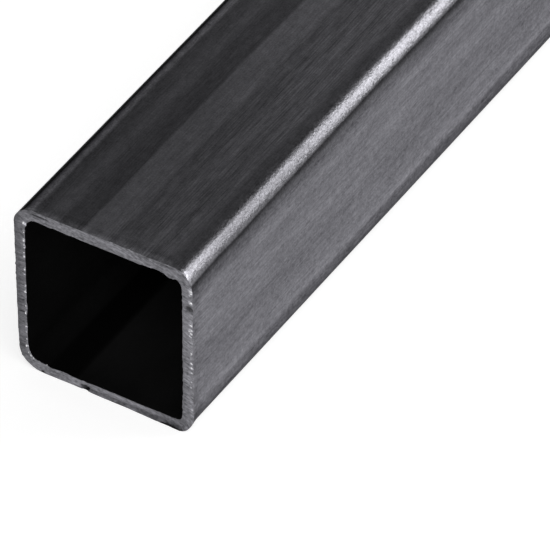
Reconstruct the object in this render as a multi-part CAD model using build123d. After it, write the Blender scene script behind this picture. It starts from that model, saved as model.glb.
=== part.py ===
from build123d import *

import os

# Square hollow section, 50 x 50 x 3 mm, cold formed, with both ends sawn square.
# It lies along Y on its lower face. The origin is below the middle of its length,
# on the surface it lies on, and the near end is at -Y.
# All sizes are in millimetres.

# Driving sizes
side = 50.0  # width over flats, the same both ways
wall = 3.0  # wall thickness
length = 1000.0  # cut length
inner_corner_radius = 3.0  # inside of the rolled corners, about one wall

# The wall keeps its thickness round each rolled corner, so the two arcs share a centre
outer_corner_radius = inner_corner_radius + wall
bore_side = side - 2 * wall


def near_end_plane():
    """The plane of the sawn end at -Y, looking along the tube from its middle height."""
    middle_of_end = (0, -length / 2, side / 2)
    return Plane(origin=middle_of_end, x_dir=(1, 0, 0), z_dir=(0, 1, 0))


def tube_section():
    """The section: a rounded square with a rounded square bore."""
    with BuildSketch(near_end_plane()) as section:
        RectangleRounded(side, side, outer_corner_radius)
        RectangleRounded(bore_side, bore_side, inner_corner_radius, mode=Mode.SUBTRACT)
    return section.sketch


def square_tube():
    """The tube: its section drawn out from one sawn end to the other."""
    return extrude(tube_section(), amount=length, dir=(0, 1, 0))


os.makedirs("parts", exist_ok=True)
export_step(square_tube(), "parts/square_tube.step")
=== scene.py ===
import math

import bpy
import numpy as np
from mathutils import Matrix, Vector, noise


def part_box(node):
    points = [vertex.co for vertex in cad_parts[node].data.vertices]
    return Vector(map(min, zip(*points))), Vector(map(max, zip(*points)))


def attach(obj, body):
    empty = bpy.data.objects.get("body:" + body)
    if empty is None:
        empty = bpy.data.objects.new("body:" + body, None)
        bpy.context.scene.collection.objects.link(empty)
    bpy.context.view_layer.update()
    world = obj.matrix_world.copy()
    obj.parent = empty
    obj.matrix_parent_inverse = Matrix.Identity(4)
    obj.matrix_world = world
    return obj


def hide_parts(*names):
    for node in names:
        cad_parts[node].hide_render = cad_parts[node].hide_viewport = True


# A length of square steel tube in its dark mill finish, with both ends sawn square. It lies
# along Y on a pale floor, and the camera looks down on the sawn end at -Y.
# The tube is shaped in millimetres round the middle of its section and then set in its place
# in metres. Around means mm round the outside from the middle of the upper face, clockwise
# as seen from the near end. Depth means mm into the wall from the outside, and inset means mm
# from the nearer sawn end. The sizes below are in mm unless a comment says otherwise.

MM = 0.001

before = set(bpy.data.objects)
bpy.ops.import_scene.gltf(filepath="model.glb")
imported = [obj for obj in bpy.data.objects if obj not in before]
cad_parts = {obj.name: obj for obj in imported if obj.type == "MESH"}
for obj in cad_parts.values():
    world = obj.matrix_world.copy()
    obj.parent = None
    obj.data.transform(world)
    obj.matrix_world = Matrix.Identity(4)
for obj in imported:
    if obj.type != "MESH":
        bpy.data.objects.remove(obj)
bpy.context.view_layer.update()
lowest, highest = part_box("square_tube")
side = (highest.x - lowest.x) / MM
length = (highest.y - lowest.y) / MM
middle = (lowest + highest) / 2

# The section
WALL = 3.0
OUTER_RADIUS = 6.0
FLAT = side - 2 * OUTER_RADIUS
ARC = OUTER_RADIUS * math.pi / 2
HALF_AROUND = 2 * FLAT + 2 * ARC

# The tube isn't rolled quite true: (around, how far the outside stands out from a true section)
ROLLED_STRAY = (
    (-94.9, 0.0), (-77.9, 0.0), (-75.9, -0.25), (-73.8, -0.62), (-71.1, -0.78), (-66.4, -0.77),
    (-58.4, -0.57), (-52.4, -0.47), (-46.4, -0.36), (-38.4, -0.3), (-28.4, -0.15), (-26.5, 0.0),
    (-23.7, 0.15), (-20.0, 0.0), (66.4, 0.0), (69.0, 0.2), (72.5, 0.24), (75.9, 0.0), (94.9, 0.0),
)
# The near end's lower right corner is burred over: (around, how far the outer edge stands out)
OUTER_EDGE_STRAY = (
    (-94.9, 0.0), (64.4, 0.0), (66.4, 0.15), (67.5, 0.2),
    (69.0, 0.26), (71.6, 0.4), (73.7, 0.27), (76.5, 0.0), (94.9, 0.0),
)
# The near end's bore is ragged: (around, how far its edge lies outside the true one, or inside
# it where steel hangs into the bore)
BORE_EDGE_STRAY = (
    (-94.9, 0.3), (-89.9, 0.42), (-85.9, 0.4), (-83.9, 0.16), (-81.9, 0.22), (-79.9, 0.4),
    (-77.9, 0.02), (-75.9, -0.12), (-74.8, -0.42), (-72.7, -0.45), (-70.6, -0.62), (-68.5, -0.72),
    (-66.4, -0.5), (-64.4, -0.2), (-55.4, -0.18), (-54.2, -0.34), (-52.6, -0.34), (-51.4, -0.14),
    (-30.4, -0.16), (-28.4, -0.3), (-27.4, -0.5), (-26.3, -0.58), (-25.2, -0.34), (-22.1, -0.28),
    (-21.0, -0.03), (-19.0, 0.05), (-14.6, -0.12), (-13.9, 0.12), (-11.0, 0.0), (-9.4, -0.12),
    (-8.8, 0.08), (-5.0, -0.08), (1.0, -0.1), (7.0, -0.2), (10.4, -0.28), (11.1, 0.04),
    (13.5, -0.02), (14.1, 0.2), (16.0, 0.14), (17.0, 0.0), (18.0, -0.6), (19.0, -0.75),
    (20.6, -0.8), (21.4, -0.4), (22.5, 0.04), (28.4, 0.05), (37.4, 0.12), (50.0, 0.05),
    (56.4, 0.1), (64.4, -0.1), (67.0, -0.13), (68.5, 0.0), (69.6, 0.22), (70.6, 0.48),
    (71.7, 0.75), (72.7, 0.8), (73.8, 0.65), (75.9, 0.46), (80.0, 0.46), (84.9, 0.48),
    (90.0, 0.36), (94.9, 0.3),
)

# How finely the mesh is cut: the width of a column on the flats and the columns in a corner
COLUMN = 0.25
ARC_STEPS = 20
# Its rows on the sawn faces, by depth, and on the outside and in the bore, by inset
DEPTH_ROWS = (0.0, 0.08, 0.28, 0.52, 0.77, 1.02, 1.27, 1.52, 1.77, 2.02, 2.27, 2.5, 2.72, 2.92, 3.0)
END_ROWS = (0.0, 0.08, 0.22, 0.45, 0.8, 1.4, 2.6, 5.0, 10.0, 25.0, 60.0, 120.0, 200.0, 300.0, 400.0)

# How far the sawn end's roughness reaches along the faces next to it: the ragged edges, the saw
# cut, the strays of the two edges, the darkness of torn steel and painted shade, and the brightness
LIP_REACH = 0.7
CUT_REACH = 5.0
OUTER_EDGE_REACH = 2.5
BORE_EDGE_REACH = 6.0
MARK_REACH = 0.3
# Nothing goes below the floor. Deeper rows stop this much higher for each mm of depth, so that
# no two rows fall together
GROUND_RISE = 0.02
# How far apart the noise of two seeds is
SEED_STEP = 17.3


def smooth(t):
    """From 0 at t = 0 to 1 at t = 1, level at both ends."""
    t = np.clip(t, 0, 1)
    return t * t * (3 - 2 * t)


def hump(distance, reach):
    """1 where distance is 0, falling smoothly to 0 at reach."""
    return smooth(1 - np.abs(distance) / reach)


def fade(distance, reach):
    """1 where distance is 0, falling evenly to 0 at reach."""
    return np.clip(1 - np.abs(distance) / reach, 0, 1)


def rough(seed, *coordinates):
    """Smooth random values from about -1 to 1, one wave a unit, for arrays of coordinates."""
    stacked = np.broadcast_arrays(*coordinates)
    points = np.stack([part.ravel() for part in stacked], axis=1)
    padded = np.zeros((len(points), 3))
    padded[:, : points.shape[1]] = points
    padded[:, 2] += SEED_STEP * seed
    values = [noise.noise(Vector(point)) for point in padded]
    return np.array(values).reshape(stacked[0].shape)


def section(around, depth):
    """The section's x and z, from its middle, at places round it and depths into its wall."""
    s = np.abs(around)
    past_corner = s - FLAT / 2
    past_side = past_corner - ARC - FLAT
    turn = (np.clip(past_corner / ARC, 0, 1) + np.clip(past_side / ARC, 0, 1)) * math.pi / 2
    core_x = np.minimum(s, FLAT / 2) - np.clip(past_side - ARC, 0, FLAT / 2)
    core_z = FLAT / 2 - np.clip(past_corner - ARC, 0, FLAT)
    radius = OUTER_RADIUS - depth
    x = (core_x + radius * np.sin(turn)) * np.where(around < 0, -1, 1)
    z = core_z + radius * np.cos(turn)
    return x, z


def table(rows, value):
    """A column of values looked up, with straight runs between, in a table of two columns."""
    return np.interp(value, *zip(*rows))


def stray(around, depth, inset, near):
    """How far a point of the tube stands out from a true section."""
    rolled = table(ROLLED_STRAY, around)
    if not near:
        return rolled
    at_outer_edge = table(OUTER_EDGE_STRAY, around) * fade(inset, OUTER_EDGE_REACH)
    at_bore_edge = (table(BORE_EDGE_STRAY, around) - rolled) * fade(inset, BORE_EDGE_REACH)
    return rolled + at_outer_edge * (1 - depth / WALL) + at_bore_edge * depth / WALL


def columns():
    """Places round the section, from the middle of the lower face and back to it."""
    flats = round(FLAT / COLUMN)
    knots = [0, FLAT / 2, FLAT / 2 + ARC, 1.5 * FLAT + ARC, 1.5 * FLAT + 2 * ARC, HALF_AROUND]
    steps = [flats // 2, ARC_STEPS, flats, ARC_STEPS, flats // 2]
    half = [np.linspace(a, b, n, endpoint=False) for a, b, n in zip(knots, knots[1:], steps)]
    half = np.concatenate(half)
    return np.concatenate([-np.append(half, HALF_AROUND)[::-1], half[1:]])


# Marks on the near end: (x, z, reach along x, reach along z, how deep, how dark). Their darkness is
# partly torn steel and partly painted shade in the dents. A darkness past 1 gives a wide black
# middle, a painted shadow
NEAR_NICKS = (
    (23.9, 13.8, 1.8, 1.3, 0.3, 0.82),
    (-23.2, -7.9, 2.0, 0.38, 0.2, 0.85),
    (-23.4, -17.3, 1.7, 0.3, 0.12, 0.4),
    (-24.0, 0.6, 0.7, 0.6, 0.1, 0.4),
    (-22.9, 18.2, 0.8, 0.3, 0.1, 0.4),
    (-18.0, 23.85, 5.2, 0.52, 0.2, 0.8),
    (-20.2, 24.6, 3.4, 0.4, 0.1, 0.6),
    (-17.6, -24.8, 0.8, 0.7, 0.05, 1.3),
    (-23.6, 21.9, 0.9, 0.7, 0.1, 0.45),
    (18.0, 24.45, 4.2, 0.5, 0.12, 0.55),
    (-5.5, -24.15, 1.8, 1.4, 0.5, 1.5),
    (4.0, -24.95, 5.5, 0.45, 0.05, 0.8),
    (18.8, -24.9, 4.8, 0.66, 0.08, 1.4),
    (21.6, -24.6, 2.6, 0.7, 0.08, 1.3),
)
# The torn strip along the lower edge, where the saw came through: (along, how far its lip stands
# out). Along means mm along the edge from its middle to the right
TORN_LIP = (
    (-5.7, 0.0), (-5.2, 0.15), (0.0, 0.3), (6.0, 0.42), (10.0, 0.52), (14.0, 0.66), (19.0, 0.82),
    (21.0, 1.0), (22.5, 0.92), (25.0, 0.6), (27.0, 0.3), (28.4, 0.0),
)
# It goes this deep into the wall, with a crease along it. It looks torn only up to TORN_END and
# where its lip stands out by more than TORN_HEIGHT, and it is darker from TORN_CORNER on. The
# crease is darkened with painted shade
TORN_DEPTH = 1.0
TORN_EDGE = 0.2
TORN_LEAN = 1.2
TORN_HEIGHT = 0.15
TORN_CORNER = 14.0
TORN_END = 23.5
TORN_FADE = 4.0
TORN_DARK = 0.1
TORN_DARKER = 0.14
CREASE_DEEP = 0.2
CREASE_REACH = 0.36
CREASE_PAINTED_SHADE = 0.3


def torn_strip(around, depth):
    """The torn strip along the lower edge: (how dark it is with torn steel and the painted shade of
    its crease, how far it stands out).
    """
    along = np.where(around > 0, HALF_AROUND - around, -HALF_AROUND - around)
    lip = table(TORN_LIP, along)
    here = smooth(lip / TORN_HEIGHT) * smooth((TORN_END - along) / TORN_FADE)
    strip = here * smooth((TORN_DEPTH - depth) / TORN_EDGE)
    crease = here * hump(depth - TORN_DEPTH, CREASE_REACH)
    dark = TORN_DARK + TORN_DARKER * smooth((along - TORN_CORNER) / TORN_FADE)
    torn_and_shaded = np.maximum(dark * strip, CREASE_PAINTED_SHADE * crease)
    lean = fade(depth, TORN_LEAN)
    return torn_and_shaded, lip * lean - CREASE_DEEP * crease


# The saw's blade was round, so its lines are arcs
SAW_RADIUS = 140.0
# Its waves on the cut: (height, length along the lines, length across them)
SAW_WAVES = ((0.05, 9, 2.5), (0.04, 4, 0.8))
# Each end has noise of its own
NEAR_SAW_SEED, FAR_SAW_SEED = 1, 2
# A nick's edge is steeper than its reach says, and uneven over this many mm
NICK_STEEP = 1.3
NICK_UNEVEN = 0.25
NICK_WAVE = 0.5
NICK_SEED = 7


def saw_cut(around, depth, near):
    """How far the sawn face stands out, in mm, and how dark it is there from torn steel and painted
    shade.
    """
    x, z = section(around, depth)
    seed = NEAR_SAW_SEED if near else FAR_SAW_SEED
    across = z + (x + side / 2) ** 2 / (2 * SAW_RADIUS)
    out = np.zeros_like(x)
    for step, (height, along_wave, across_wave) in enumerate(SAW_WAVES):
        out += height * rough(seed + 2 * step, x / along_wave, across / across_wave)
    torn_and_shaded = np.zeros_like(x)
    if near:
        torn_and_shaded, strip = torn_strip(around, depth)
        out += strip
        uneven = NICK_UNEVEN * rough(NICK_SEED, x / NICK_WAVE, z / NICK_WAVE)
        # Each nick's dent is darkened with painted shade
        for nick_x, nick_z, reach_x, reach_z, deep, dark in NEAR_NICKS:
            away = np.hypot((x - nick_x) / reach_x, (z - nick_z) / reach_z)
            dent = smooth(NICK_STEEP * (1 - away + uneven))
            out -= deep * dent
            torn_and_shaded = np.maximum(torn_and_shaded, np.minimum(dark * dent, 1))
    return out, torn_and_shaded


# How the sawn edges stray: the height and the length of each kind of wave. The last kind is only
# on the right wall, from around to around
SOFT_WAVES = (0.09, 3.1)
STEPS = (0.2, 1.6)
FINE_WAVES = (0.05, 0.6)
RIGHT_WALL_WAVES = (0.16, 0.9)
RIGHT_WALL_FROM, RIGHT_WALL_TO, RIGHT_WALL_FADE = 28.0, 68.0, 2.0
# How steep the steps are, and how rare
STEEP, RARE = 4.0, 1.2
# Each edge has noise of its own: (outer edge, bore's edge)
NEAR_LIP_SEEDS = (5, 9)
FAR_LIP_SEEDS = (25, 29)


def ragged(around, seed):
    """How far a sawn edge strays, in mm: soft waves, with steps where teeth have caught it."""
    kinds = (SOFT_WAVES, STEPS, FINE_WAVES, RIGHT_WALL_WAVES)
    strays = [rough(seed + number, around / wave) for number, (_, wave) in enumerate(kinds)]
    strays[1] = smooth(STEEP * strays[1] - RARE)
    strays[3] *= smooth((around - RIGHT_WALL_FROM) / RIGHT_WALL_FADE)
    strays[3] *= smooth((RIGHT_WALL_TO - around) / RIGHT_WALL_FADE)
    return sum(height * part for (height, _), part in zip(kinds, strays))


# Burrs along the edges where the saw's teeth left the walls: (z, size)
LEFT_WALL_BURRS = (
    (20.3, 0.75), (17.3, 0.35), (14.8, 0.68), (13.4, 0.32), (12.6, 0.28), (9.8, 0.56), (5.7, 0.5),
    (0.8, 0.24), (-1.2, 0.6), (-5.7, 0.4), (-7.9, 0.66), (-12.2, 0.48), (-14.0, 0.34), (-16.2, 0.3),
    (-18.3, 0.72),
)
RIGHT_WALL_BURRS = (
    (19.6, 0.75), (18.9, 0.6), (16.0, 0.7), (9.0, 0.7), (7.4, 0.55), (6.4, 0.6),
    (0.2, 0.5), (-2.9, 0.45), (-4.3, 0.55), (-5.9, 0.32), (-17.6, 0.3),
)
# Burrs elsewhere: (x, z, size, lean)
MORE_BURRS = (
    (-21.55, -20.2, 0.45, 150), (-20.95, -21.0, 0.5, 140), (-20.2, -21.5, 0.4, 125),
    (-16.4, -21.9, 0.3, 100), (24.0, 7.1, 0.36, 105), (24.1, 5.6, 0.28, 120),
    (24.2, 18.2, 0.32, 115),
)
# Where the near end's steel is brighter: (x, z, reach along x, reach along z, how bright)
FRESH_SPOTS = (
    (-8.0, -23.6, 4.0, 2.4, 0.15), (-13.0, -22.8, 3.0, 0.9, 0.08), (6.0, -22.8, 11.0, 1.0, 0.13),
    (23.4, -7.8, 1.7, 1.7, 0.09), (24.3, -17.6, 1.1, 1.4, 0.1), (24.4, -14.2, 1.2, 1.7, 0.09),
    (24.6, 3.2, 0.9, 3.0, 0.14), (-10.0, 23.2, 4.0, 1.0, 0.06),
)
# The x at which the teeth left each wall
LEFT_EXIT, RIGHT_EXIT = -22.12, 24.55
# Which way the burrs of each wall are drawn out: degrees from upright towards the right
LEFT_LEAN, RIGHT_LEAN = 8, 112
# Small burrs at random places: how many on each wall, how far they lie from where the teeth left
# it, between what heights, from what size they are, and to what size on each wall
SMALL_BURRS = 8
SMALL_SPREAD = (-0.25, 0.05)
SMALL_HEIGHTS = (-19, 19)
SMALLEST = 0.18
LEFT_LARGEST, RIGHT_LARGEST = 0.28, 0.26
BURR_SEED = 4


def burr_places(near):
    """Every burr of one end: (x, z, size, lean)."""
    places = [(LEFT_EXIT, z, size, LEFT_LEAN) for z, size in LEFT_WALL_BURRS]
    places += [(RIGHT_EXIT, z, size, RIGHT_LEAN) for z, size in RIGHT_WALL_BURRS]
    places += MORE_BURRS
    random = np.random.default_rng(BURR_SEED)
    walls = ((LEFT_EXIT, LEFT_LEAN, LEFT_LARGEST), (RIGHT_EXIT, RIGHT_LEAN, RIGHT_LARGEST))
    for edge, lean, largest in walls:
        for _ in range(SMALL_BURRS):
            x = edge + random.uniform(*SMALL_SPREAD)
            z = random.uniform(*SMALL_HEIGHTS)
            places.append((x, z, random.uniform(SMALLEST, largest), lean))
    if near:
        return places
    return [(x, -z, size, 180 - lean) for x, z, size, lean in places]


# How bright the steel is along the edges that the teeth left, partly as fresh steel and partly
# as painted glints, how far that reaches, and the heights that it ends at
LEFT_RIM, LEFT_RIM_REACH = 0.15, 0.75
LEFT_RIM_END = 21.0
RIGHT_RIM, RIGHT_RIM_REACH = 0.07, 1.3
RIGHT_RIM_X = RIGHT_EXIT - 0.2
RIGHT_RIM_BOTTOM, RIGHT_RIM_TOP = -19.0, 19.5
# How strongly it is patchy there, and over how many mm along x and z
PATCHY = 1.3
PATCH_X, PATCH_Z = 2.0, 3.3
PATCH_SEED = 11
# How bright the painted glint is at a burr, and how far that reaches for each mm of the burr's size
PAINTED_GLINT_AT_BURRS = 0.75
GLINT_X, GLINT_Z = 1.5, 1.1


def fresh_steel_and_glints(x, z, near):
    """How bright the sawn face is: brightest at the burrs, where the steel is fresh and a glint is
    painted.
    """
    up = z if near else -z
    left_rim = hump(x - LEFT_EXIT, LEFT_RIM_REACH) * smooth((LEFT_RIM_END - np.abs(up)) / 2)
    right_rim = hump(x - RIGHT_RIM_X, RIGHT_RIM_REACH)
    right_rim *= smooth((RIGHT_RIM_TOP - up) / 2) * smooth((up - RIGHT_RIM_BOTTOM) / 3)
    patchy = smooth(0.5 + PATCHY * rough(PATCH_SEED, x / PATCH_X, up / PATCH_Z))
    bright = (LEFT_RIM * left_rim + RIGHT_RIM * right_rim) * patchy
    if near:
        for spot_x, spot_z, reach_x, reach_z, light in FRESH_SPOTS:
            away = np.hypot((x - spot_x) / reach_x, (z - spot_z) / reach_z)
            bright += light * hump(away, 1)
    # A painted glint round each burr
    for burr_x, burr_z, size, _ in burr_places(near):
        away = np.hypot((x - burr_x) / GLINT_X, (z - burr_z) / GLINT_Z)
        bright = np.maximum(bright, PAINTED_GLINT_AT_BURRS * hump(away, size))
    return bright


def rings():
    """Loops of the closed mesh, face by face: (inset, depth, whether it is nearer the near end)."""
    skin = [(inset, True) for inset in END_ROWS]
    skin += [(length / 2, True)]
    skin += [(inset, False) for inset in reversed(END_ROWS)]
    outside = [(inset, 0.0, near) for inset, near in skin]
    far_face = [(0.0, depth, False) for depth in DEPTH_ROWS[1:-1]]
    bore = [(inset, WALL, near) for inset, near in reversed(skin)]
    near_face = [(0.0, depth, True) for depth in reversed(DEPTH_ROWS[1:-1])]
    return outside, far_face, bore, near_face


def tube_grid():
    """The tube's points as rings of columns in mm, how dark each is from torn steel and painted
    shade, and how bright.
    """
    around = columns()[:-1]
    loops = [ring for part in rings() for ring in part]
    points = np.zeros((len(loops), len(around), 3))
    torn_and_shaded = np.zeros((len(loops), len(around)))
    bright = np.zeros((len(loops), len(around)))
    lips, cuts = {}, {}
    for near, seeds in ((True, NEAR_LIP_SEEDS), (False, FAR_LIP_SEEDS)):
        lips[near] = [ragged(around, seed) for seed in seeds]
        for depth in DEPTH_ROWS:
            fresh = fresh_steel_and_glints(*section(around, depth), near)
            cuts[near, depth] = (*saw_cut(around, depth, near), fresh)
    for row, (inset, depth, near) in enumerate(loops):
        outer_lip, inner_lip = lips[near]
        at_edge = fade(inset, LIP_REACH)
        moved = depth - stray(around, depth, inset, near)
        moved = moved - outer_lip * at_edge * fade(depth, LIP_REACH)
        moved = moved + inner_lip * at_edge * fade(WALL - depth, LIP_REACH)
        x, z = section(around, moved)
        out, torn_and_shaded[row], bright[row] = cuts[near, depth]
        torn_and_shaded[row] *= fade(inset, MARK_REACH)
        bright[row] *= fade(inset, MARK_REACH)
        y = inset - out * fade(inset, CUT_REACH) - length / 2
        ground = -side / 2 + GROUND_RISE * depth
        points[row] = np.stack([x, y if near else -y, np.maximum(z, ground)], axis=1)
    return points, torn_and_shaded, bright


def placed(name, data):
    """A new object in the scene with the data of a mesh, a camera or a light."""
    made = bpy.data.objects.new(name, data)
    bpy.context.scene.collection.objects.link(made)
    return made


# Which of the tube's materials a face has
OUTSIDE, SAWN, BORE = 0, 1, 2


def tube_body():
    """The tube as one closed mesh: outside, far sawn face, bore and near sawn face."""
    points, torn_and_shaded, bright = tube_grid()
    around = columns()
    n_rings, n_columns = torn_and_shaded.shape
    vertex = np.arange(n_rings * n_columns).reshape(n_rings, n_columns)
    across = np.roll(vertex, -1, axis=1)
    ahead = np.roll(vertex, -1, axis=0)
    both = np.roll(ahead, -1, axis=1)
    faces = np.stack([vertex, across, both, ahead], axis=2).reshape(-1, 4)
    mesh = bpy.data.meshes.new("tube_body")
    mesh.from_pydata((points.reshape(-1, 3) * MM + np.array(middle)).tolist(), [], faces.tolist())

    outside, far_face, bore, near_face = (len(part) for part in rings())
    kinds = [OUTSIDE] * (outside - 1) + [SAWN] * (far_face + 1)
    kinds += [BORE] * (bore - 1) + [SAWN] * (near_face + 1)
    mesh.polygons.foreach_set("material_index", np.repeat(kinds, n_columns))
    mesh.polygons.foreach_set("use_smooth", np.ones(len(faces), bool))

    # Around goes with the faces' corners, so that it can jump from the last column to the first
    left, right = around[:-1], around[1:]
    corners = np.stack([left, right, right, left], axis=1)
    corners = np.tile(corners, (n_rings, 1, 1))
    marks = (("around", "CORNER", corners), ("torn_and_shaded", "POINT", torn_and_shaded), ("bright", "POINT", bright))
    for name, domain, values in marks:
        attribute = mesh.attributes.new(name, "FLOAT", domain)
        attribute.data.foreach_set("value", values.ravel().astype(np.float32))
    return placed("tube_body", mesh)


BURR_RINGS, BURR_SPOKES = 6, 10
# A burr of size 1: how far it goes across, along the tube and the way it is drawn out
BURR_WIDTH, BURR_OUT, BURR_LENGTH = 0.6, 0.6, 1.25
# How uneven it is, and how quickly that changes over its surface
BURR_UNEVEN, BURR_WAVES = 0.16, 2.2


def burr(centre, size, lean, seed):
    """One curl of metal, as points and faces: a small knob drawn out one way."""
    points, faces = [], []
    turned = Matrix.Rotation(math.radians(lean), 3, "Y")
    for ring in range(1, BURR_RINGS):
        tilt = math.pi * ring / BURR_RINGS
        for spoke in range(BURR_SPOKES):
            turn = 2 * math.pi * spoke / BURR_SPOKES
            flat = math.sin(tilt)
            way = Vector((flat * math.cos(turn), flat * math.sin(turn), math.cos(tilt)))
            uneven = noise.noise(BURR_WAVES * way + Vector((seed, 0, 0)))
            reach = size * (0.5 + BURR_UNEVEN * uneven)
            drawn_out = Vector((BURR_WIDTH * way.x, BURR_OUT * way.y, BURR_LENGTH * way.z))
            points.append(Vector(centre) + reach * (turned @ drawn_out))
    tip = turned @ Vector((0, 0, 0.5 * BURR_LENGTH * size))
    points += [Vector(centre) + tip, Vector(centre) - tip]
    top, bottom = len(points) - 2, len(points) - 1
    last = (BURR_RINGS - 2) * BURR_SPOKES
    for spoke in range(BURR_SPOKES):
        after = (spoke + 1) % BURR_SPOKES
        faces.append((top, spoke, after))
        faces.append((bottom, last + after, last + spoke))
        for row in range(BURR_RINGS - 2):
            here = row * BURR_SPOKES
            below = here + BURR_SPOKES
            faces.append((here + spoke, below + spoke, below + after, here + after))
    return points, faces


def saw_burrs(name, near):
    """The burrs of one end, joined in one mesh."""
    end = -length / 2 if near else length / 2
    points, faces = [], []
    for seed, (x, z, size, lean) in enumerate(burr_places(near)):
        knob, knob_faces = burr((x, end, z), size, lean, seed)
        faces += [tuple(len(points) + corner for corner in face) for face in knob_faces]
        points += knob
    mesh = bpy.data.meshes.new(name)
    mesh.from_pydata([tuple(point * MM + middle) for point in points], [], faces)
    mesh.polygons.foreach_set("use_smooth", np.ones(len(faces), bool))
    return placed(name, mesh)


def node(tree, kind, inputs=None, **settings):
    """A new shader node, with each input set to a value or linked to another node's output."""
    made = tree.nodes.new("ShaderNode" + kind)
    for name, value in settings.items():
        setattr(made, name, value)
    for name, value in (inputs or {}).items():
        if isinstance(value, bpy.types.NodeSocket):
            tree.links.new(value, made.inputs[name])
        else:
            made.inputs[name].default_value = value
    return made


def new_material(name):
    """A new material, its node tree, the tree's output node and its object coordinates in mm."""
    material = bpy.data.materials.new(name)
    material.use_nodes = True
    tree = material.node_tree
    tree.nodes.clear()
    output = node(tree, "OutputMaterial")
    coordinates = node(tree, "TexCoord").outputs["Object"]
    return material, tree, output, tinted(tree, coordinates, 1 / MM)


# Where nearly all values of a noise texture lie
NOISE_RANGE = (0.25, 0.75)


def grain(tree, place, size, low, high, detail=2.0):
    """Noise with waves of size (x, y, z) mm, spread from low to high, with finer waves in it."""
    shrink = tuple(1 / part for part in size)
    scaled = node(tree, "VectorMath", {0: place, 1: shrink}, operation="MULTIPLY").outputs["Vector"]
    inputs = {"Vector": scaled, "Scale": 1.0, "Detail": detail}
    return span(tree, node(tree, "TexNoise", inputs).outputs["Fac"], *NOISE_RANGE, low, high)


def span(tree, value, low, high, new_low, new_high, kind="LINEAR"):
    """The value's range from low to high mapped to a new one, and held there outside it."""
    inputs = {"Value": value, "From Min": low, "From Max": high}
    inputs |= {"To Min": new_low, "To Max": new_high}
    return node(tree, "MapRange", inputs, interpolation_type=kind).outputs["Result"]


def times(tree, *values):
    """The product of values and outputs."""
    product = values[0]
    for value in values[1:]:
        product = node(tree, "Math", {0: product, 1: value}, operation="MULTIPLY").outputs["Value"]
    return product


def plus(tree, *values):
    """The sum of values and outputs."""
    total = values[0]
    for value in values[1:]:
        total = node(tree, "Math", {0: total, 1: value}, operation="ADD").outputs["Value"]
    return total


def tinted(tree, tint, tone):
    """A colour or another vector times a number: a tint made lighter or darker by a tone."""
    return node(tree, "VectorMath", {0: tint, "Scale": tone}, operation="SCALE").outputs["Vector"]


def attribute_of(tree, name):
    """The mesh attribute with this name."""
    return node(tree, "Attribute", attribute_name=name).outputs["Fac"]


def bump(tree, relief, height, normal=None):
    """The normal of a relief from 0 to 1 that is so many mm high, on top of another normal."""
    inputs = {"Strength": 1.0, "Distance": height * MM, "Height": relief}
    if normal is not None:
        inputs["Normal"] = normal
    return node(tree, "Bump", inputs).outputs["Normal"]


def surface(tree, output, colour, looks):
    """The material's surface: a shader with this colour and these other inputs."""
    shader = node(tree, "BsdfPrincipled", {"Base Color": colour, **looks})
    tree.links.new(shader.outputs["BSDF"], output.inputs["Surface"])


# Lengthwise bands left by rolling, with painted light and shade in them: (around, lightness from 0
# to 1, how streaky, how gritty), from the middle of the lower face to that of the upper one. The
# dark strip along the upper left corner is painted shade
LEFT_BANDS_AND_PAINTED_LIGHT = (
    (-94.9, 0.42, 0.6, 0.5), (-88.0, 0.48, 0.6, 0.5), (-82.5, 0.36, 0.6, 0.5),
    (-76.5, 0.44, 0.5, 0.5), (-73.8, 0.18, 0.3, 0.5), (-72.2, 0.3, 0.3, 0.6),
    (-70.8, 0.62, 0.2, 0.7), (-68.6, 0.55, 0.2, 0.6), (-67.4, 0.2, 0.3, 0.5),
    (-65.8, 0.42, 0.5, 0.5), (-60.5, 0.5, 0.5, 0.4), (-53.0, 0.38, 0.7, 0.4),
    (-47.0, 0.52, 0.5, 0.4), (-40.0, 0.44, 0.6, 0.4), (-33.0, 0.52, 0.5, 0.4),
    (-29.0, 0.4, 0.4, 0.5), (-26.2, 0.22, 0.3, 0.5), (-24.8, 0.5, 0.2, 0.7),
    (-23.0, 0.08, 0.2, 0.6), (-22.3, 0.07, 0.3, 0.5), (-21.5, 0.38, 0.3, 0.5),
    (-20.8, 0.62, 0.3, 0.6), (-20.1, 0.68, 0.3, 0.6), (-19.2, 0.3, 0.4, 0.5),
    (-17.5, 0.3, 0.4, 0.35), (-14.0, 0.43, 0.4, 0.35), (-11.0, 0.3, 0.4, 0.35),
    (-6.2, 0.29, 0.4, 0.35), (-5.6, 0.52, 0.3, 0.35), (0.0, 0.55, 0.4, 0.35),
)
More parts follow.
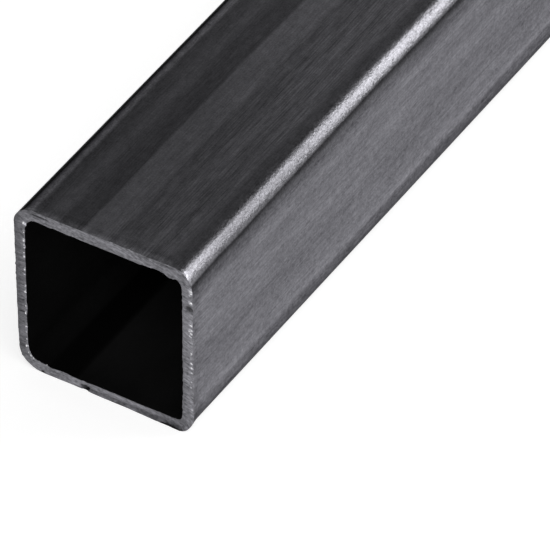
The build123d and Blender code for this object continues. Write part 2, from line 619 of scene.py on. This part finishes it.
# And on from there. The dark bands on either side of the right corner's highlight are painted
# shade, and the right face is painted lighter than the upper face, as the light falls on it
RIGHT_BANDS_AND_PAINTED_LIGHT = (
    (0.0, 0.55, 0.4, 0.35), (1.2, 0.55, 0.5, 0.35), (2.6, 0.41, 0.6, 0.35),
    (4.5, 0.44, 0.7, 0.35), (6.2, 0.4, 0.8, 0.35), (7.5, 0.48, 0.9, 0.35),
    (9.0, 0.48, 0.9, 0.35), (10.8, 0.54, 0.9, 0.35), (13.0, 0.46, 0.9, 0.35),
    (16.5, 0.54, 0.8, 0.35), (18.5, 0.39, 0.5, 0.35), (20.2, 0.31, 0.3, 0.35),
    (21.5, 0.25, 0.3, 0.55), (22.6, 0.62, 0.2, 0.65), (24.0, 0.53, 0.2, 0.65),
    (25.0, 0.55, 0.2, 0.62), (25.4, 0.5, 0.2, 0.6), (26.0, 0.08, 0.2, 0.6),
    (26.85, 0.24, 0.3, 0.5), (27.6, 0.39, 0.3, 0.5), (29.4, 0.56, 0.4, 0.5),
    (31.4, 0.71, 0.4, 0.35), (33.6, 0.8, 0.4, 0.35), (36.5, 0.72, 0.4, 0.35),
    (42.0, 0.8, 0.4, 0.35), (53.4, 0.68, 0.4, 0.4), (57.0, 0.75, 0.4, 0.4),
    (61.5, 0.77, 0.4, 0.4), (63.6, 0.88, 0.4, 0.4), (65.3, 0.57, 0.5, 0.5),
    (67.4, 0.5, 0.6, 0.5), (94.9, 0.42, 0.6, 0.5),
)
# The grains below are (size along x, y and z, from what value, to what value), and also how much
# finer detail they have where that isn't 2. All the bands wander to either side
WANDER = ((30, 45, 30), -0.25, 0.25, 1.0)
# Between the first and the second of these insets the bands of the right corner come to lie
# higher, by one distance at its upper side and by another at its lower side. So the painted shade
# edging that corner's highlight moves round along the tube, as under a near lamp
DRIFT_INSETS = (12.0, 110.0)
UPPER_DRIFT, LOWER_DRIFT = 0.68, 0.5
UPPER_SIDE, LOWER_SIDE = (17.5, 20.5), (23.0, 25.5)
# Next to an end its lower side's bands lie lower: the painted shade below the highlight moves down,
# so the highlight reaches further round there
END_DRIFT = -0.5
END_DRIFT_REACH = 12.0
END_DRIFT_SIDE = (23.0, 24.5)

# Painted light: as far round as the right corner the skin, and most of all its highlight, is
# painted duller and brighter by turns, and dullest at the inset WAVE_LOW. The waves are even up to
# the first of two insets and at random past the second
WAVE_LENGTH = 156.0
WAVE_LOW = 27.0
WAVE_ON_TOP, WAVE_ON_CORNER = 0.13, 0.3
WAVE_CORNER, WAVE_END = (20.5, 22.5), (23.4, 25.0)
WAVE_INSETS = (110.0, 190.0)
UNEVEN_WAVES = ((160, 90, 160), -0.9, 0.9, 1.0)
# As far round as the same corner it is painted lighter next to an end: a painted highlight along
# the end's rounded edge
END_EDGE_PAINTED_LIGHT = 0.8
END_EDGE_PAINTED_LIGHT_REACH = 2.5
END_EDGE_PAINTED_LIGHT_STOP = (25.2, 27.0)
# The right corner's highlight is painted brighter towards an end
PAINTED_END_HIGHLIGHT = 0.4
PAINTED_END_HIGHLIGHT_INSETS = (1.0, 18.0)
PAINTED_END_HIGHLIGHT_START, PAINTED_END_HIGHLIGHT_STOP = (22.0, 23.0), (24.8, 25.4)

# The skin's grains
HAIRLINES = ((0.34, 9, 0.34), -0.44, 0.44)
DRAGS = ((1.8, 35, 1.8), -0.16, 0.16)
SPECKS = ((0.4, 0.55, 0.4), -0.5, 0.5, 1.0)
MOTTLES = ((1.3, 2.0, 1.3), -0.35, 0.35)
CLOUDS = ((8, 26, 8), 0.92, 1.08)
# Next to an end the skin is smudged
SMUDGES = ((1.6, 2.2, 1.6), -0.9, 0.25)
SMUDGED = 0.5
SMUDGED_INSETS = (0.5, 4.5)
# Its roughness, and how much rougher the mottles make it
GLOSS = ((0.6, 9, 0.6), 0.31, 0.39)
MOTTLED_GLOSS = 0.1
# Its bumps, each with its height. Those of the grit are flatter where a band has little grit
GRIT_BUMPS, GRIT_HEIGHT = ((0.75, 1.0, 0.75), 0, 1, 3.0), 0.06
LOW_GRIT, HIGH_GRIT, FLATTER = 0.3, 0.7, 0.4
DRAWN_BUMPS, DRAWN_HEIGHT = ((0.45, 18, 0.45), 0, 1), 0.012
# Rolled and sawn steel are both a little less than wholly metallic
METALLIC = 0.95
SKIN_SHADE = 0.3
SKIN_TINT = (1.0, 0.99, 1.07)
# How much darker than a plain metal the skin is at a glancing angle
SKIN_RIM = (0.25, 0.25, 0.25, 1)


def inset_of(tree, place):
    """How far a point is from the nearer sawn end, in mm."""
    along = node(tree, "SeparateXYZ", {"Vector": place}).outputs["Y"]
    distance = node(tree, "Math", {0: along}, operation="ABSOLUTE").outputs["Value"]
    return node(tree, "Math", {0: length / 2, 1: distance}, operation="SUBTRACT").outputs["Value"]


def painted_light_along_tube(tree, place, around, inset):
    """How much brighter the painted light makes the skin for its place along the tube."""
    turn = times(tree, plus(tree, inset, -WAVE_LOW), 2 * math.pi / WAVE_LENGTH)
    wave = node(tree, "Math", {0: turn}, operation="COSINE").outputs["Value"]
    on_corner = span(tree, around, *WAVE_CORNER, WAVE_ON_TOP, WAVE_ON_CORNER)
    strength = times(tree, on_corner, span(tree, around, *WAVE_END, 1, 0), -1.0)
    uneven = grain(tree, place, *UNEVEN_WAVES)
    even = span(tree, inset, *WAVE_INSETS, 1, 0)
    mixed = plus(tree, uneven, times(tree, plus(tree, wave, times(tree, uneven, -1.0)), even))
    waves = plus(tree, times(tree, mixed, strength), 1.0)
    # A painted highlight along the end's rounded edge
    edge_light = span(tree, inset, 0.0, END_EDGE_PAINTED_LIGHT_REACH, END_EDGE_PAINTED_LIGHT, 0.0, "SMOOTHSTEP")
    edge_lit = plus(tree, times(tree, edge_light, span(tree, around, *END_EDGE_PAINTED_LIGHT_STOP, 1, 0)), 1.0)
    # A painted highlight, brighter on the right corner towards an end
    end_highlight = span(tree, inset, *PAINTED_END_HIGHLIGHT_INSETS, PAINTED_END_HIGHLIGHT, 0)
    end_highlight = times(tree, end_highlight, span(tree, around, *PAINTED_END_HIGHLIGHT_START, 0, 1))
    painted_sheen = plus(tree, times(tree, end_highlight, span(tree, around, *PAINTED_END_HIGHLIGHT_STOP, 1, 0)), 1.0)
    return times(tree, waves, edge_lit, painted_sheen)


def ramp(tree, value, rows):
    """Three columns looked up in a table: a place and three values in each of up to 32 rows."""
    first, last = rows[0][0], rows[-1][0]
    made = node(tree, "ValToRGB", {"Fac": span(tree, value, first, last, 0, 1)})
    stops = made.color_ramp.elements
    while len(stops) < len(rows):
        stops.new(0.5)
    for stop, (where, *values) in zip(stops, rows):
        stop.position = (where - first) / (last - first)
        stop.color = (*values, 1)
    return made.outputs["Color"]


def bands(tree, place, around, inset):
    """The bands' lightness, painted light and shade included, streakiness and grit, wandering a
    little along the tube.
    """
    wander = grain(tree, place, *WANDER)
    upper = span(tree, around, *UPPER_SIDE, 0, UPPER_DRIFT)
    lower = span(tree, around, *LOWER_SIDE, 0, LOWER_DRIFT - UPPER_DRIFT)
    drift = times(tree, plus(tree, upper, lower), span(tree, inset, *DRIFT_INSETS, 0, 1))
    by_end = span(tree, inset, 0, END_DRIFT_REACH, END_DRIFT, 0)
    by_end = times(tree, span(tree, around, *END_DRIFT_SIDE, 0, 1), by_end)
    moved = plus(tree, around, wander, drift, by_end)
    on_right = node(tree, "Math", {0: moved, 1: 0.0}, operation="GREATER_THAN").outputs["Value"]
    sides = {0: on_right, 6: ramp(tree, moved, LEFT_BANDS_AND_PAINTED_LIGHT), 7: ramp(tree, moved, RIGHT_BANDS_AND_PAINTED_LIGHT)}
    mixed = node(tree, "Mix", sides, data_type="RGBA").outputs[2]
    parts = node(tree, "SeparateColor", {"Color": mixed}).outputs
    return parts["Red"], parts["Green"], parts["Blue"]


def mill_steel():
    """The outside: dark rolled steel with lengthwise bands, painted light and shade, streaks and a
    fine satin grain.
    """
    material, tree, output, place = new_material("mill_steel")
    around = attribute_of(tree, "around")
    inset = inset_of(tree, place)
    # The bands hold painted shade along the corners and a painted lighter right face
    light, streaky, gritty = bands(tree, place, around, inset)
    hairlines = grain(tree, place, *HAIRLINES)
    drags = grain(tree, place, *DRAGS)
    specks = grain(tree, place, *SPECKS)
    mottles = grain(tree, place, *MOTTLES)
    clouds = grain(tree, place, *CLOUDS)
    smudges = grain(tree, place, *SMUDGES)
    streaks = plus(tree, times(tree, plus(tree, hairlines, drags), streaky), 1.0)
    grit = plus(tree, times(tree, plus(tree, specks, mottles), gritty), 1.0)
    smudged = plus(tree, times(tree, smudges, span(tree, inset, *SMUDGED_INSETS, SMUDGED, 0)), 1.0)
    # Painted light along the tube: waves of sheen, a lighter edge and a brighter highlight at the
    # ends
    painted_sheen = painted_light_along_tube(tree, place, around, inset)
    tone = times(tree, light, streaks, grit, clouds, smudged, painted_sheen, SKIN_SHADE)
    gloss = plus(tree, grain(tree, place, *GLOSS), times(tree, mottles, MOTTLED_GLOSS))
    flatter = span(tree, gritty, LOW_GRIT, HIGH_GRIT, FLATTER, 1)
    bumps = bump(tree, times(tree, grain(tree, place, *GRIT_BUMPS), flatter), GRIT_HEIGHT)
    drawn = bump(tree, grain(tree, place, *DRAWN_BUMPS), DRAWN_HEIGHT, bumps)
    looks = {"Metallic": METALLIC, "Roughness": gloss, "Specular Tint": SKIN_RIM, "Normal": drawn}
    surface(tree, output, tinted(tree, SKIN_TINT, tone), looks)
    return material


# The sawn steel's grains, their sizes given along the saw's lines, into the steel and across
FINE_LINES = ((2.2, 2.5, 0.33), -0.45, 0.45)
BROAD_LINES = ((7, 7, 1.2), -0.3, 0.3)
BLOTCHES = ((1.0, 1.0, 0.75), -0.45, 0.45)
STROKES = ((1.3, 1.3, 0.3), -0.4, 2.2)
# How rough the steel is where the broad lines are darkest and where they are lightest
SAWN_GLOSS = (0.36, 0.5)
SAWN_HEIGHT = 0.03
# The lines are stronger on the right wall: from x to x, and how many times
STRONG_LINES, STRONGER = (21.5, 23.5), 1.3
# The left wall is darker than the others
LEFT_WALL, LEFT_LIGHT = (-22.5, -20.5), 0.75
# On the upper half the left wall's outer edge and the right wall's inner one are darker still
UPPER_HALF = (-2.0, 2.0)
OUTER_LEFT, OUTER_LEFT_DARK = (-24.9, -23.0), -0.28
INNER_RIGHT, INNER_RIGHT_DARK = (22.0, 23.4), -0.14
RIGHT_WALL = (20.0, 22.0)
# How light torn steel and painted shade are at their darkest, next to sawn steel
TORN_AND_SHADED_LIGHT = 0.03
SAWN_SHADE = 0.17
SAWN_TINT = (1.0, 0.99, 1.08)
FRESH_AND_GLINT_SHADE = 0.6


def along_saw_lines(tree, parts):
    """A place that stays at the same height along each of the saw's arcs."""
    swing = plus(tree, parts["X"], side / 2)
    arc = times(tree, swing, swing, 1 / (2 * SAW_RADIUS))
    bent = {"X": parts["X"], "Y": parts["Y"], "Z": plus(tree, parts["Z"], arc)}
    return node(tree, "CombineXYZ", bent).outputs["Vector"]


def wall_shade(tree, parts):
    """How light the sawn steel is for its place on the section."""
    upper_half = span(tree, parts["Z"], *UPPER_HALF, 0, 1)
    outer_left = times(tree, span(tree, parts["X"], *OUTER_LEFT, OUTER_LEFT_DARK, 0), upper_half)
    right_wall = span(tree, parts["X"], *RIGHT_WALL, 0, 1)
    inner_right = span(tree, parts["X"], *INNER_RIGHT, INNER_RIGHT_DARK, 0)
    inner_right = times(tree, inner_right, upper_half, right_wall)
    return plus(tree, span(tree, parts["X"], *LEFT_WALL, LEFT_LIGHT, 1.0), outer_left, inner_right)


def sawn_steel():
    """The sawn ends: bare steel with fine saw lines along x, darker where the metal tore and with
    painted shade in dents.
    """
    material, tree, output, place = new_material("sawn_steel")
    parts = node(tree, "SeparateXYZ", {"Vector": place}).outputs
    sawn = along_saw_lines(tree, parts)
    fine = grain(tree, sawn, *FINE_LINES)
    broad = grain(tree, sawn, *BROAD_LINES)
    blotches = grain(tree, place, *BLOTCHES)
    stronger = span(tree, parts["X"], *STRONG_LINES, 1.0, STRONGER)
    marks = plus(tree, times(tree, fine, stronger), broad, blotches, 1.0)
    # Torn steel and painted shade in the dents and the crease darken it
    torn_and_shaded = span(tree, attribute_of(tree, "torn_and_shaded"), 0, 1, 1.0, TORN_AND_SHADED_LIGHT)
    dull = times(tree, marks, wall_shade(tree, parts), torn_and_shaded, SAWN_SHADE)
    strokes = grain(tree, sawn, *STROKES)
    # Fresh steel and painted glints lighten the sawn face
    tone = plus(tree, dull, times(tree, attribute_of(tree, "bright"), strokes, FRESH_AND_GLINT_SHADE))
    bumps = bump(tree, plus(tree, fine, blotches), SAWN_HEIGHT)
    gloss = span(tree, broad, *BROAD_LINES[1:], *SAWN_GLOSS)
    looks = {"Metallic": METALLIC, "Roughness": gloss, "Normal": bumps}
    surface(tree, output, tinted(tree, SAWN_TINT, tone), looks)
    return material


# The bore's lower wall has a stripe of painted shade along it, and its lower left corner is
# painted darker against the light that it catches: (around, lightness)
BORE_PAINTED_SHADES = (
    (-94.9, 0.95), (-87.4, 0.95), (-86.4, 0.19), (-79.4, 0.19), (-78.4, 0.62), (-71.0, 0.66),
    (-62.0, 0.95), (62.0, 0.9), (75.9, 0.95), (94.9, 0.95),
)
# The scale is painted lighter further in, against the light that falls off there: from inset to
# inset, and how light
BORE_INSETS, BORE_PAINTED_LIGHT = (2.0, 33.0), (0.65, 3.5)
BORE_PATCHES = ((7, 20, 7), 0.85, 1.15)
BORE_GRIT = ((0.4, 0.6, 0.4), 0, 1)
BORE_GRIT_HEIGHT = 0.02
# How rough it is at the bottom of the grit and on top, and how little it mirrors
BORE_GLOSS = (0.6, 0.75)
BORE_MIRROR = 0.05
# The scale's near black is painted shade as much as its own colour
BORE_SHADE = 0.0066
BORE_TINT = (1.0, 1.0, 1.02)


def bore_scale_and_shade():
    """The inside of the bore: matt scale painted near black with shade, faint patches, a stripe of
    painted shade and painted light further in.
    """
    material, tree, output, place = new_material("bore_scale_and_shade")
    shades = [(around, light, light, light) for around, light in BORE_PAINTED_SHADES]
    shade = ramp(tree, attribute_of(tree, "around"), shades)
    light = node(tree, "SeparateColor", {"Color": shade}).outputs["Red"]
    # Painted lighter further in
    deep = span(tree, inset_of(tree, place), *BORE_INSETS, *BORE_PAINTED_LIGHT)
    patches = grain(tree, place, *BORE_PATCHES)
    grit = grain(tree, place, *BORE_GRIT)
    tone = times(tree, patches, light, deep, BORE_SHADE)
    looks = {"Metallic": 0.0, "Roughness": span(tree, grit, 0, 1, *BORE_GLOSS)}
    looks |= {"Specular IOR Level": BORE_MIRROR, "Normal": bump(tree, grit, BORE_GRIT_HEIGHT)}
    surface(tree, output, tinted(tree, BORE_TINT, tone), looks)
    return material


BURR_DIRT = ((0.2, 0.2, 0.2), 0.75, 1.1)
# How rough a burr is where it is dirtiest and where it is cleanest
BURR_GLOSS = (0.3, 0.2)
BURR_SHADE = 0.85
BURR_TINT = (1.0, 1.0, 1.02)


def bright_burr():
    """The burrs: freshly torn, shiny steel."""
    material, tree, output, place = new_material("bright_burr")
    dirt = grain(tree, place, *BURR_DIRT)
    looks = {"Metallic": 1.0, "Roughness": span(tree, dirt, *BURR_DIRT[1:], *BURR_GLOSS)}
    surface(tree, output, tinted(tree, BURR_TINT, times(tree, dirt, BURR_SHADE)), looks)
    return material


# The photograph's camera. It was fitted to the sawn end's outline in a frame of 550 x 550 pixels
FRAME_PIXELS = 550
LENS_PIXELS = 8573
SENSOR_MM = 36.0
CAMERA_AZIMUTH = math.radians(31.46)
CAMERA_ELEVATION = math.radians(40.68)
CAMERA_ROLL = math.radians(0.14)
# The middle of the near end, as the camera sees it: metres to the right, down and ahead
END_SEEN = Vector((-0.04070, 0.01049, 2.0359))
# How far the camera sees, in metres: past the floor's rim
CAMERA_REACH = 200


def direction(turn, rise):
    """A direction turned from +Y towards +X and raised from level, both in radians."""
    level = math.cos(rise)
    return Vector((math.sin(turn) * level, math.cos(turn) * level, math.sin(rise)))


def add_camera():
    """The camera, looking down on the near end from the front right."""
    ahead = direction(-CAMERA_AZIMUTH, -CAMERA_ELEVATION)
    level = Vector((math.cos(CAMERA_AZIMUTH), math.sin(CAMERA_AZIMUTH), 0))
    below = ahead.cross(level)
    right = math.cos(CAMERA_ROLL) * level + math.sin(CAMERA_ROLL) * below
    down = -math.sin(CAMERA_ROLL) * level + math.cos(CAMERA_ROLL) * below
    end = Vector((middle.x, lowest.y, middle.z))
    place = end - END_SEEN.x * right - END_SEEN.y * down - END_SEEN.z * ahead
    data = bpy.data.cameras.new("camera")
    data.sensor_width = SENSOR_MM
    data.lens = LENS_PIXELS / FRAME_PIXELS * SENSOR_MM
    data.clip_end = CAMERA_REACH
    camera = placed("camera", data)
    turned = Matrix((right, -down, -ahead)).transposed().to_4x4()
    camera.matrix_world = Matrix.Translation(place) @ turned
    bpy.context.scene.camera = camera


# The lights: (name, degrees from +Y towards +X, degrees up, width in degrees, strength)
SUNS = (("key", 41.8, 30, 34, 1.4), ("fill", 140, 62, 60, 1.3))
WORLD_GREY = 0.28


def add_sun(name, azimuth, elevation, width, strength):
    """A soft light from far away."""
    data = bpy.data.lights.new(name, "SUN")
    data.energy = strength
    data.angle = math.radians(width)
    lamp = placed(name, data)
    towards = direction(math.radians(azimuth), math.radians(elevation))
    lamp.rotation_mode = "QUATERNION"
    lamp.rotation_quaternion = towards.to_track_quat("Z", "Y")


def add_light():
    """A dim even room, a soft light behind to the right and a broad high one in front."""
    for sun in SUNS:
        add_sun(*sun)
    world = bpy.data.worlds.new("room")
    world.use_nodes = True
    background = world.node_tree.nodes["Background"]
    background.inputs["Color"].default_value = (WORLD_GREY, WORLD_GREY, WORLD_GREY, 1)
    background.inputs["Strength"].default_value = 1.0
    bpy.context.scene.world = world


# The floor's rings, from its middle out to its rim: (radius, height) in metres
FLOOR_RINGS = ((0.5, 0.0), (2.0, 0.0), (10.0, 0.0), (24.0, 0.0), (25.6, 0.6), (26.4, 2.4))
FLOOR_SPOKES = 96
FLOOR_PAPER = ((3, 3, 3), 0.99, 1.01)
FLOOR_SHADE = 0.5
FLOOR_GLOW = 0.7


def pale_floor():
    """The floor's material: pale and matt, and lit up to white where a camera or mirror sees it."""
    material, tree, output, place = new_material("pale_floor")
    paper = grain(tree, place, *FLOOR_PAPER)
    colour = tinted(tree, (1.0, 1.0, 1.0), times(tree, paper, FLOOR_SHADE))
    matt = node(tree, "BsdfDiffuse", {"Color": colour})
    path = node(tree, "LightPath").outputs
    seen = plus(tree, path["Is Camera Ray"], path["Is Glossy Ray"], path["Is Transmission Ray"])
    strength = times(tree, seen, FLOOR_GLOW)
    glow = node(tree, "Emission", {"Color": (1, 1, 1, 1), "Strength": strength})
    both = node(tree, "AddShader", {0: matt.outputs["BSDF"], 1: glow.outputs["Emission"]})
    tree.links.new(both.outputs["Shader"], output.inputs["Surface"])
    return material


def add_floor():
    """A wide pale floor that curves up into a low wall far behind."""
    points, faces = [(0, 0, lowest.z)], []
    for radius, height in FLOOR_RINGS:
        for spoke in range(FLOOR_SPOKES):
            turn = 2 * math.pi * spoke / FLOOR_SPOKES
            points.append((radius * math.cos(turn), radius * math.sin(turn), lowest.z + height))
    for spoke in range(FLOOR_SPOKES):
        after = (spoke + 1) % FLOOR_SPOKES
        faces.append((0, 1 + spoke, 1 + after))
        for ring in range(len(FLOOR_RINGS) - 1):
            here = 1 + ring * FLOOR_SPOKES
            beyond = here + FLOOR_SPOKES
            faces.append((here + spoke, beyond + spoke, beyond + after, here + after))
    mesh = bpy.data.meshes.new("floor")
    mesh.from_pydata(points, [], faces)
    floor = placed("floor", mesh)
    floor.data.materials.append(pale_floor())


def add_tube():
    """The tube and the burrs of its two ends."""
    body = tube_body()
    for material in (mill_steel(), sawn_steel(), bore_scale_and_shade()):
        body.data.materials.append(material)
    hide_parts("square_tube")
    burrs = [saw_burrs("near_end_burrs", True), saw_burrs("far_end_burrs", False)]
    burr_material = bright_burr()
    for piece in burrs:
        piece.data.materials.append(burr_material)
    for piece in (body, *burrs):
        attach(piece, "root")


add_camera()
add_light()
add_floor()
add_tube()
bpy.context.scene.view_settings.view_transform = "Standard"
